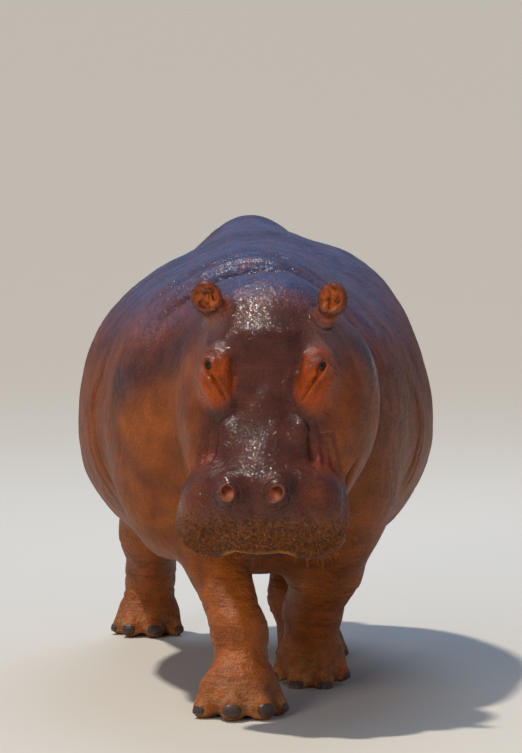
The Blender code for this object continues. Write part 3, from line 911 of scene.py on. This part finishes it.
def hide_colour(hide):
    """The markings of the hide, with a painted sky reflection on its upward faces and the lip painted as if
    lit, which the bristles' roots share.
    """
    broad = hide.noise(0.20, 4)
    fine = hide.noise(0.022, 5)
    colour = hide.mix(BROWN, WARM, hide.mark("warm", hide.step(broad, 0.25, 0.65, 0.55, 1.0)))
    crown = hide.mark("head", hide.less(hide.mark("warm", 0.9)))
    colour = hide.mix(colour, CROWN, hide.times(crown, 0.85))
    # painted sky reflection: upward faces turn blue, with the hide's red blotches among it
    colour = hide.mix(colour, SKY_SHEEN_BLUE, hide.mark("sky_sheen", hide.step(fine, 0.2, 0.7, 0.55, 1.0)))
    spots = hide.step(hide.noise(0.060, 3, distortion=0.6), 0.60, 0.70)
    colour = hide.mix(colour, BLOTCH, hide.times(spots, hide.mark("sky_sheen", 0.55)))
    colour = hide.mix(colour, PINK, hide.mark("pink", hide.step(fine, 0.35, 0.65, 0.25, 0.9)))
    colour = hide.mix(colour, RUST, hide.mark("rust", hide.step(fine, 0.2, 0.6, 0.75, 1.0)))
    speckled = hide.mix(STUBBLE, SOOT, hide.step(hide.noise(0.0075, 3), 0.40, 0.60))
    speckled = hide.mix(speckled, SOOT, hide.step(hide.noise(0.040, 2), 0.50, 0.70, 0.0, 0.6))
    colour = hide.mix(colour, speckled, hide.mark("stubble", 0.95))
    # ochre lip, painted as if lit
    colour = hide.mix(colour, LIT_OCHRE, hide.mark("lit_ochre"))
    return hide.mix(colour, DUST, hide.mark("dust", hide.step(fine, 0.35, 0.7, 0.0, 0.75)))


def hide_shade(hide, cracks):
    """Light and dark patches of every size, and darker cracks between the scales of skin."""
    shade = hide.step(hide.noise(0.070, 6), 0.25, 0.75, 0.72, 1.22)
    shade = hide.times(shade, hide.step(hide.noise(0.0045, 4), 0.3, 0.7, 0.85, 1.12))
    return hide.times(shade, hide.step(cracks, 0.0, 0.12, 0.72, 1.0))


def hide_scratches(hide):
    """Long thin pale lines over the flanks."""
    lines = hide.noise(0.50, 2, hide.stretch((0.5, 1.2, 9.0)), 0.3)
    line = hide.step(hide.math("ABSOLUTE", hide.math("SUBTRACT", lines, 0.5)), 0.0, 0.0016, 1.0, 0.0)
    return hide.times(line, hide.step(hide.noise(0.12, 2), 0.50, 0.62))


def hide_relief(hide, cracks):
    """Scaly grain all over, wrinkles across the legs and upright on the trunk, and the muzzle's pores."""
    relief = hide.bump(hide.step(cracks, 0.0, 0.22), 0.0005)
    lively = hide.less(hide.mark("sleek", 0.85))
    for size, depth in ((0.0085, 0.0026), (0.024, 0.0050)):
        relief = hide.bump(hide.times(hide.noise(size, 1), lively), depth, relief)
    upright = hide.noise(0.016, 4, hide.stretch((1.0, 1.0, 0.28)), 0.8)
    relief = hide.bump(hide.times(upright, hide.less(hide.mark("leg"))), 0.0016, relief)
    across = hide.noise(0.017, 4, hide.stretch((0.22, 0.22, 1.6)), 0.5)
    relief = hide.bump(hide.mark("leg", across), 0.0042, relief)
    return hide.bump(hide.mark("stubble", hide.step(hide.cells(0.0062), 0.10, 0.42)), 0.0018, relief)


def hide_material():
    hide = Surface("hide")
    cracks = hide.cells(0.0075, "DISTANCE_TO_EDGE", hide.stretch((1, 1, 0.8)))
    colour = hide.dim(hide_colour(hide), hide_shade(hide, cracks))
    # painted shade in the creases
    colour = hide.mix(colour, CREASE_SHADE, hide.mark("crease", 0.50))
    raw = hide.mix(RAW, RAW_PALE, hide.noise(0.010, 2))
    # painted shade deep inside the nostrils
    raw = hide.mix(raw, NOSTRIL_SHADE, hide.mark("deep", 0.90))
    # paler nostril rims, and painted sheen on the temples
    colour = hide.mix(colour, PALE_RIM_AND_SHEEN, hide.mark("rim", 0.4))
    colour = hide.mix(colour, raw, hide.mark("nostril"))
    tan = hide.mix(TAN, TAN_DARK, hide.step(hide.noise(0.020, 3), 0.42, 0.66))
    colour = hide.mix(colour, tan, hide.mark("hollow", 0.9))
    colour = hide.mix(colour, SCRATCH, hide.times(hide_scratches(hide), 0.35))
    # wet hide is glossy, and dry or dusty hide is dull
    rough = hide.step(hide.noise(0.030, 5), 0.3, 0.7, 0.06, 0.15)
    rough = hide.plus(rough, hide.times(hide.less(hide.mark("wet")), 0.42))
    rough = hide.plus(rough, hide.mark("dust", 0.20))
    hide.shine(Base_Color=colour, Roughness=rough, Normal=hide_relief(hide, cracks), IOR=1.30,
               Specular_IOR_Level=0.75)
    return hide.material


def eye_material():
    eye = Surface("eye")
    streaks = eye.noise(0.0018, 4)
    iris = eye.mix((0.014, 0.006, 0.003), (0.045, 0.016, 0.006), streaks)
    white = eye.mix((0.040, 0.014, 0.008), (0.090, 0.032, 0.018), eye.noise(0.006, 3))
    colour = eye.mix(white, iris, eye.mark("iris"))
    colour = eye.mix(colour, (0.003, 0.002, 0.002), eye.mark("pupil"))
    eye.shine(Base_Color=colour, Roughness=0.16, Coat_Weight=0.12, Coat_Roughness=0.03,
              Specular_IOR_Level=0.15)
    return eye.material


def nail_material():
    nail = Surface("nail")
    streaks = nail.noise(0.006, 4, nail.stretch((1, 1, 0.15)))
    colour = nail.mix((0.014, 0.008, 0.006), (0.075, 0.040, 0.028), streaks)
    worn = nail.mark("tip", nail.step(nail.noise(0.01, 4), 0.35, 0.65))
    colour = nail.mix(colour, (0.16, 0.10, 0.06), worn)
    bands = nail.noise(0.004, 2, nail.stretch((0.15, 0.15, 1)))
    relief = nail.bump(bands, 0.0010, nail.bump(streaks, 0.0006))
    nail.shine(Base_Color=colour, Roughness=nail.step(streaks, 0.2, 0.8, 0.32, 0.55), Normal=relief)
    return nail.material


def bristle_material(name, root, tip):
    """Stiff hair, darker at its root. The mark tip runs from 0 at the root to 1 at the tip."""
    hair = Surface(name)
    colour = hair.mix(hide_colour(hair), root, hair.step(hair.mark("tip"), 0.0, 0.3))
    colour = hair.mix(colour, tip, hair.step(hair.mark("tip"), 0.2, 0.9))
    colour = hair.mix(colour, (0.020, 0.008, 0.004), hair.step(hair.noise(0.010, 3), 0.42, 0.60, 0.0, 0.75))
    hair.shine(Base_Color=colour, Roughness=hair.step(hair.noise(0.004, 1), 0.3, 0.7, 0.35, 0.5))
    return hair.material


# ---- eyes and nails ----


def finish_piece(made, material, slot, *nodes):
    made.data.materials.append(material)
    made.data.polygons.foreach_set("use_smooth", np.ones(len(made.data.polygons), bool))
    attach(made, "root")
    if nodes:
        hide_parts(*nodes)


def round_form(name, across, up):
    """A ball of radius 1. Its faces are sorted, as Blender gives them in another order each run."""
    form = bmesh.new()
    bmesh.ops.create_uvsphere(form, u_segments=across, v_segments=up, radius=1.0)
    form.verts.index_update()
    vertices = [vertex.co[:] for vertex in form.verts]
    faces = sorted(tuple(vertex.index for vertex in face.verts) for face in form.faces)
    form.free()
    mesh = bpy.data.meshes.new(name)
    mesh.from_pydata(vertices, [], faces)
    return mesh, places(mesh)


def build_eye(side, word, material):
    """An eyeball with a bulging cornea, a round iris and a pupil that is a level slit."""
    mesh, ball = round_form("eyeball_" + word, 48, 40)
    from_axis = np.arccos(np.clip(ball[:, 2], -1, 1))
    bulge = 1 + 0.06 * (1 - ramp(from_axis, 0.0, math.radians(40)))
    add_mark(mesh, "iris", 1 - ramp(from_axis, math.radians(34), math.radians(39)))
    slit = lengths(ball[:, :2] / (0.34, 0.15))
    add_mark(mesh, "pupil", (1 - ramp(slit, 0.85, 1.1)) * (ball[:, 2] > 0))
    local = (ball * bulge[:, None] * EYE_RADIUS * 0.985) @ np.array(EYE_TURN).T + np.array(EYE_PLACE)
    local[:, 0] *= side
    placed = local @ HEAD_AXES.T + np.array(HEAD_JOINT) + OFFSET
    put_places(mesh, placed)
    if side < 0:
        mesh.flip_normals()
    finish_piece(add_object("eyeball_" + word, mesh), material, "eye", "eye_" + word)


def build_nail(name, node, nail_frame, size, material):
    """A blunt hoof-like nail: a broad arched plate, ridged by its growth and worn flat at the floor."""
    mesh, ball = round_form(name, 40, 28)
    square = np.sign(ball) * np.abs(ball) ** (0.86, 1.0, 0.86)
    radii = np.array(NAIL_SIZE) * size
    local = square * radii
    local[:, 1] -= 0.10 * radii[1] * (1 - square[:, 0] ** 2)
    ridges = 0.0006 * np.sin(local[:, 2] * 900) + 0.0008 * noise(local + 3.0 + size, 0.008, 12)
    local += ball * ridges[:, None]
    placed = local @ np.array(nail_frame.to_3x3()).T + np.array(nail_frame.translation) + OFFSET
    placed[:, 2] = np.maximum(placed[:, 2], FLOOR_CLEARANCE)
    add_mark(mesh, "tip", 1 - ramp(placed[:, 2], 0.004, 0.022))
    put_places(mesh, placed)
    finish_piece(add_object(name, mesh), material, "nail", node)


def build_nails():
    material = nail_material()
    for foot_name, foot in FEET.items():
        for number, (nail_frame, size) in enumerate(foot.nail_frames(), 1):
            node = foot_name.replace("foot", "nail") + "_" + str(number)
            build_nail("hoof_" + node, node, nail_frame, size, material)


# ---- unwrapping ----


class Unwrap:
    """A flat map of the skin: one chart for each region of the body and each way that its skin faces."""

    scales = (2.4, 3.5, 3.5, 1, 1, 1, 1, 1, 1)  # head, ears, legs, tail, trunk
    margin = 0.03

    def __init__(self, points, normals):
        charts = self.charts(points, normals)
        self.low, self.high = {}, {}
        for chart in np.unique(charts):
            flat = self.flat(points[charts == chart], chart)
            self.low[chart] = flat.min(axis=0) - self.margin
            self.high[chart] = flat.max(axis=0) + self.margin
        self.side = 2.0
        while not self.pack():
            self.side *= 1.02

    def regions(self, points):
        """The number of each point's region: head 0, ears 1 and 2, legs 3 to 6, tail 7 and trunk 8."""
        region = np.full(len(points), 8)
        region[(line_gap(points, TAIL_JOINTS) < 0.07) & (points[:, 1] > 2.39)] = 7
        for number, (joints, _) in enumerate(LEGS.values(), 3):
            region[(line_gap(points, joints) < 0.22) & (points[:, 2] < 0.55)] = number
        side, along, up = in_half_head(points).T
        region[(along < 0.0) & (up > -0.34) & (side < 0.32)] = 0
        for number, ear_side in ((1, 1), (2, -1)):
            region[lengths(in_frame(points, ear_frame(ear_side))) < 0.062] = number
        return region

    def charts(self, points, normals):
        region = self.regions(points)
        facing = np.array(normals)
        facing[region == 0] = facing[region == 0] @ HEAD_AXES
        for number, side in ((1, 1), (2, -1)):
            facing[region == number] = facing[region == number] @ np.array(ear_frame(side).to_3x3())
        axis = np.abs(facing).argmax(axis=1)
        ahead = facing[np.arange(len(facing)), axis] > 0
        return region * 6 + axis * 2 + ahead

    def flat(self, points, chart):
        region = chart // 6
        if region == 0:
            points = in_head(points)
        elif region in (1, 2):
            points = in_frame(points, ear_frame(1 if region == 1 else -1))
        others = [axis for axis in range(3) if axis != chart % 6 // 2]
        return points[:, others] * self.scales[region]

    def pack(self):
        """Set the charts side by side in rows, tallest first. False if they don't fit the square."""
        self.corner = {}
        across, up, tallest = 0.0, 0.0, 0.0
        for chart in sorted(self.low, key=lambda c: -(self.high[c] - self.low[c])[1]):
            width, height = self.high[chart] - self.low[chart]
            if across + width > self.side:
                across, up, tallest = 0.0, up + tallest, 0.0
            self.corner[chart] = np.array((across, up))
            across += width
            tallest = max(tallest, height)
        return up + tallest <= self.side

    def places(self, points, charts):
        """Where the points lie in the unit square, each on its given chart."""
        flat = np.zeros((len(points), 2))
        for chart in self.corner:
            chosen = charts == chart
            if chosen.any():
                flat[chosen] = self.flat(points[chosen], chart) - self.low[chart] + self.corner[chart]
        return flat / self.side


def put_map(mesh, flat):
    layer = mesh.uv_layers.new(name="OFBake")
    layer.data.foreach_set("uv", np.ascontiguousarray(flat, np.float32).ravel())


def map_skin(mesh, unwrap, points, normals):
    """Give each face of the skin the chart of its first corner."""
    corners = read(mesh.loops, "vertex_index", kind=int)
    totals = read(mesh.polygons, "loop_total", kind=int)
    starts = np.cumsum(totals) - totals
    charts = unwrap.charts(points, normals)
    put_map(mesh, unwrap.places(points[corners], np.repeat(charts[corners[starts]], totals)))


# ---- bristles ----


# Each kind of hair: how many, their shortest and longest, how thick, how far they rise from the skin (0 lies
# flat, 1 stands), how much they droop, and in how many steps they bend.
HAIRS = {
    "muzzle_stubble": (9500, (0.003, 0.008), 0.00085, 0.40, 0.15, 1),
    "whiskers": (160, (0.018, 0.055), 0.00060, 0.80, 0.25, 4),
    "chin_bristles": (300, (0.006, 0.028), 0.00060, 0.70, 0.20, 2),
    "ear_fringe": (1100, (0.005, 0.017), 0.00038, 0.75, 0.00, 2),
    "ear_fuzz": (2600, (0.003, 0.008), 0.00035, 0.50, 0.10, 1),
    "tail_bristles": (700, (0.020, 0.075), 0.00055, 0.35, 0.10, 3),
    "body_hairs": (2600, (0.005, 0.014), 0.00035, 0.45, 0.10, 2),
}
DARK_HAIRS = ("ear_fringe", "tail_bristles", "body_hairs")
HAIR_SPREAD = 0.22  # how far neighbouring hairs point apart
HAIR_SUNK = 0.0010  # how deep their bases lie in the skin


class Roots:
    """Where hairs grow: places scattered over the skin as thickly as chance says, with its marks there."""

    def __init__(self, mesh, points, normals, chance, count):
        mesh.calc_loop_triangles()
        corners = read(mesh.loop_triangles, "vertices", 3, int)
        corners = corners[chance[corners].mean(axis=1) > 0.01]
        a, b, c = (points[corners[:, i]] for i in range(3))
        weight = lengths(np.cross(b - a, c - a)) * chance[corners].mean(axis=1)
        corners = corners[rng.choice(len(corners), count, p=weight / weight.sum())]
        share = rng.dirichlet((1, 1, 1), count)
        self.count = count
        self.points = (points[corners] * share[..., None]).sum(axis=1)
        self.normals = unit((normals[corners] * share[..., None]).sum(axis=1))
        self.marks = {}
        for mark in mesh.attributes:
            if mark.data_type == "FLOAT" and mark.domain == "POINT":
                self.marks[mark.name] = read(mark.data, "value")[corners[:, 0]]


def grow(name, roots, way, length, thickness, stand, droop, rings, unwrap, material):
    """Three-sided tapering hairs, which lie along the skin in the given way."""
    start = roots.normals * stand + unit(np.array(way)) * (1 - stand)
    start = unit(start + rng.normal(0, HAIR_SPREAD, roots.points.shape))
    long = length[0] + (length[1] - length[0]) * rng.random(roots.count) ** 1.6
    first = unit(np.cross(start, unit(rng.normal(0, 1, start.shape))))
    second = np.cross(start, first)
    patch = unwrap.places(roots.points, unwrap.charts(roots.points, roots.normals))
    rows, shares, flats = [], [], []
    for ring in range(rings + 1):
        share = ring / rings
        middle = roots.points + start * (long * share - HAIR_SUNK)[:, None]
        middle[:, 2] -= droop * long * share**2
        for corner in range(1 if ring == rings else 3):
            turn = np.array((math.cos(math.tau * corner / 3), math.sin(math.tau * corner / 3)))
            out = 0.0 if ring == rings else thickness * (1 - 0.75 * share)
            rows.append(middle + (first * turn[0] + second * turn[1]) * out)
            flats.append(patch + PATCH * 0.4 * (1 - share) * turn)
            shares.append(share)
    each = len(rows)
    vertices = np.stack(rows, axis=1).reshape(-1, 3)
    flats = np.stack(flats, axis=1).reshape(-1, 2)
    pattern = [(0, 2, 1)]
    for ring in range(rings):
        for corner in range(3):
            a, b = ring * 3 + corner, ring * 3 + (corner + 1) % 3
            pattern.append((a, b, each - 1) if ring == rings - 1 else (a, b, b + 3, a + 3))
    faces = [tuple(i + hair * each for i in face) for hair in range(roots.count) for face in pattern]
    mesh = bpy.data.meshes.new(name)
    mesh.from_pydata((vertices + OFFSET).tolist(), [], faces)
    flats = flats[read(mesh.loops, "vertex_index", kind=int)]
    # the sunken base has a small place of its own beside the patch
    base = np.zeros(sum(len(face) for face in pattern), bool)
    base[:3] = True
    flats[np.tile(base, roots.count)] += (PATCH * 0.45, 0)
    put_map(mesh, flats)
    for mark, values in roots.marks.items():
        add_mark(mesh, mark, np.repeat(values, each))
    add_mark(mesh, "tip", np.tile(shares, roots.count))
    finish_piece(add_object(name, mesh), material, "hide")


def head_way(x, y, z):
    """A direction given in the head's frame."""
    return HEAD_AXES @ np.array((x, y, z))


def hair_fields(points, zones, stubble):
    """For each kind of hair, how thickly it grows at each point of the skin, and the way it lies."""
    side, along, _ = zones.face.T
    outside = 1 - ramp(1.5 - zones.nostril, 0.0, 0.2) * (zones.nostril_gap < 0.06)
    outside *= ramp(np.abs(zones.lip), 0.006, 0.014)
    patchy = 0.35 + 0.65 * ramp(noise(points, 0.030, 21), -0.4, 0.4)
    flanks = stubble * outside * (0.15 + ramp(side, 0.10, 0.18)) * (1.8 - 1.6 * zones.right)
    chin = zones.mouth * ramp(-zones.lip, 0.03, 0.06) * ramp(-along, 0.50, 0.62) * ramp(side, 0.05, 0.12)
    rim = np.zeros(len(points))
    for ear_side in (1, -1):
        ear = in_frame(points, ear_frame(ear_side))
        at_rim = hill(lengths(ear[:, [0, 2]] / EAR_CUP) - 0.93, 0.10)
        rim = np.maximum(rim, at_rim * (np.abs(ear[:, 1]) < 0.022))
    ear = (1 - ramp(zones.ear, 0.050, 0.075)) * (1 - zones.in_ear * 0.5)
    tail = (line_gap(points, TAIL_JOINTS) < 0.06) * (points[:, 1] > 2.40)
    tail = tail * ramp(0.98 - points[:, 2], 0, 0.18)
    bare = 1 - np.maximum(ear, zones.on_head * ramp(0.15 - zones.eye, 0, 0.05))
    bare *= (points[:, 2] > 0.30) * (1 - stubble) * outside
    down_face = head_way(0, -0.75, -0.65)
    return {
        "muzzle_stubble": (stubble**1.5 * outside * patchy, down_face),
        "whiskers": (flanks, down_face),
        "chin_bristles": (chin, down_face),
        "ear_fringe": (rim, head_way(0, 0.4, 0.8)),
        "ear_fuzz": (ear, head_way(0, -0.6, 0.5)),
        "tail_bristles": (tail, (0, 0.3, -1)),
        "body_hairs": (bare, (0, 0.5, -0.8)),
    }


def build_bristles(mesh, points, normals, zones, unwrap):
    straw = bristle_material("muzzle_bristle", (0.180, 0.046, 0.005), (0.500, 0.160, 0.022))
    dark = bristle_material("hair", (0.050, 0.018, 0.008), (0.230, 0.110, 0.050))
    fields = hair_fields(points, zones, read(mesh.attributes["stubble"].data, "value"))
    for name, (count, *shape) in HAIRS.items():
        chance, way = fields[name]
        roots = Roots(mesh, points, normals, chance, count)
        grow(name, roots, way, *shape, unwrap, dark if name in DARK_HAIRS else straw)


def build_animal():
    skin = mesh_skin()
    mesh = skin.data
    points, normals = settle(places(mesh), SETTLE_STEPS)
    folded, crease_shade, zones = fold(points, normals)
    put_places(mesh, folded + OFFSET)
    mark_skin(mesh, zones, crease_shade)
    unwrap = Unwrap(points, normals)
    map_skin(mesh, unwrap, points, normals)
    finish_piece(skin, hide_material(), "hide", *FLESH_NODES)
    material = eye_material()
    for side, word in ((1, "left"), (-1, "right")):
        build_eye(side, word, material)
    build_nails()
    build_bristles(mesh, folded, normals, zones, unwrap)


# ---- floor, light and camera ----

CAMERA_PLACE = Vector((0.018, -16.28, 2.185))
CAMERA_DOWN = math.radians(4.25)
LENS = 239.0
HORIZON = (0.526, 0.486, 0.440)
SKY = (0.16, 0.20, 0.29)
FLOOR = (0.46, 0.425, 0.37)
FLOOR_REACH = 2000


def build_floor():
    corners = [(x * FLOOR_REACH, y * FLOOR_REACH, 0) for x, y in ((-1, -1), (1, -1), (1, 1), (-1, 1))]
    mesh = bpy.data.meshes.new("floor")
    mesh.from_pydata(corners, [], [(0, 1, 2, 3)])
    floor = add_object("floor", mesh)
    paint = Surface("floor")
    paint.shine(Base_Color=FLOOR, Roughness=0.9)
    mesh.materials.append(paint.material)


def add_lamp(kind, name, place, target, size, power, colour):
    """A soft lamp. size is a disk's width in metres, or a distant lamp's in radians.

    Only the distant lamp shows in the wet hide. The disks light it without veiling it.
    """
    lamp = bpy.data.lights.new(name, kind)
    if kind == "AREA":
        lamp.shape = "DISK"
        lamp.size = size
    else:
        lamp.angle = size
    lamp.energy = power
    lamp.color = colour
    made = add_object(name, lamp)
    made.location = place
    made.rotation_euler = (Vector(target) - Vector(place)).to_track_quat("-Z", "Y").to_euler()
    made.visible_glossy = kind == "SUN"


def build_sky():
    """Dim blue above, and as pale as the floor at the horizon."""
    world = bpy.data.worlds.new("studio")
    world.use_nodes = True
    sky = Nodes(world.node_tree)
    height = sky.node("SeparateXYZ", {0: sky.node("TexCoord", {}, "Generated")}, "Z")
    colour = sky.mix(HORIZON, SKY, sky.step(height, 0.0, 0.03))
    sky.put(world.node_tree.nodes["Background"].inputs["Color"], colour)
    bpy.context.scene.world = world


def build_light():
    add_lamp("SUN", "key", (-3.2, 0.5, 9.4), (0, 0, 0), math.radians(3), 3.3, (1.0, 0.95, 0.87))
    add_lamp("AREA", "front", (-5.0, -11.0, 4.2), (0, 0, 0.7), 4.0, 700, (1.0, 0.94, 0.86))
    add_lamp("AREA", "fill", (2.5, -13.0, 3.2), (0, 0, 0.7), 4.0, 270, (1.0, 0.93, 0.85))
    add_lamp("AREA", "sky", (0.5, 5.0, 7.0), (0, 0.6, 1.2), 4.0, 360, (0.50, 0.70, 1.0))
    build_sky()
    bpy.context.scene.view_settings.view_transform = "Standard"


def build_camera():
    lens = bpy.data.cameras.new("camera")
    lens.lens = LENS
    lens.clip_end = 5000
    made = add_object("camera", lens)
    made.location = CAMERA_PLACE
    made.rotation_euler = (math.pi / 2 - CAMERA_DOWN, 0, 0)
    bpy.context.scene.camera = made


build_animal()
build_floor()
build_light()
build_camera()
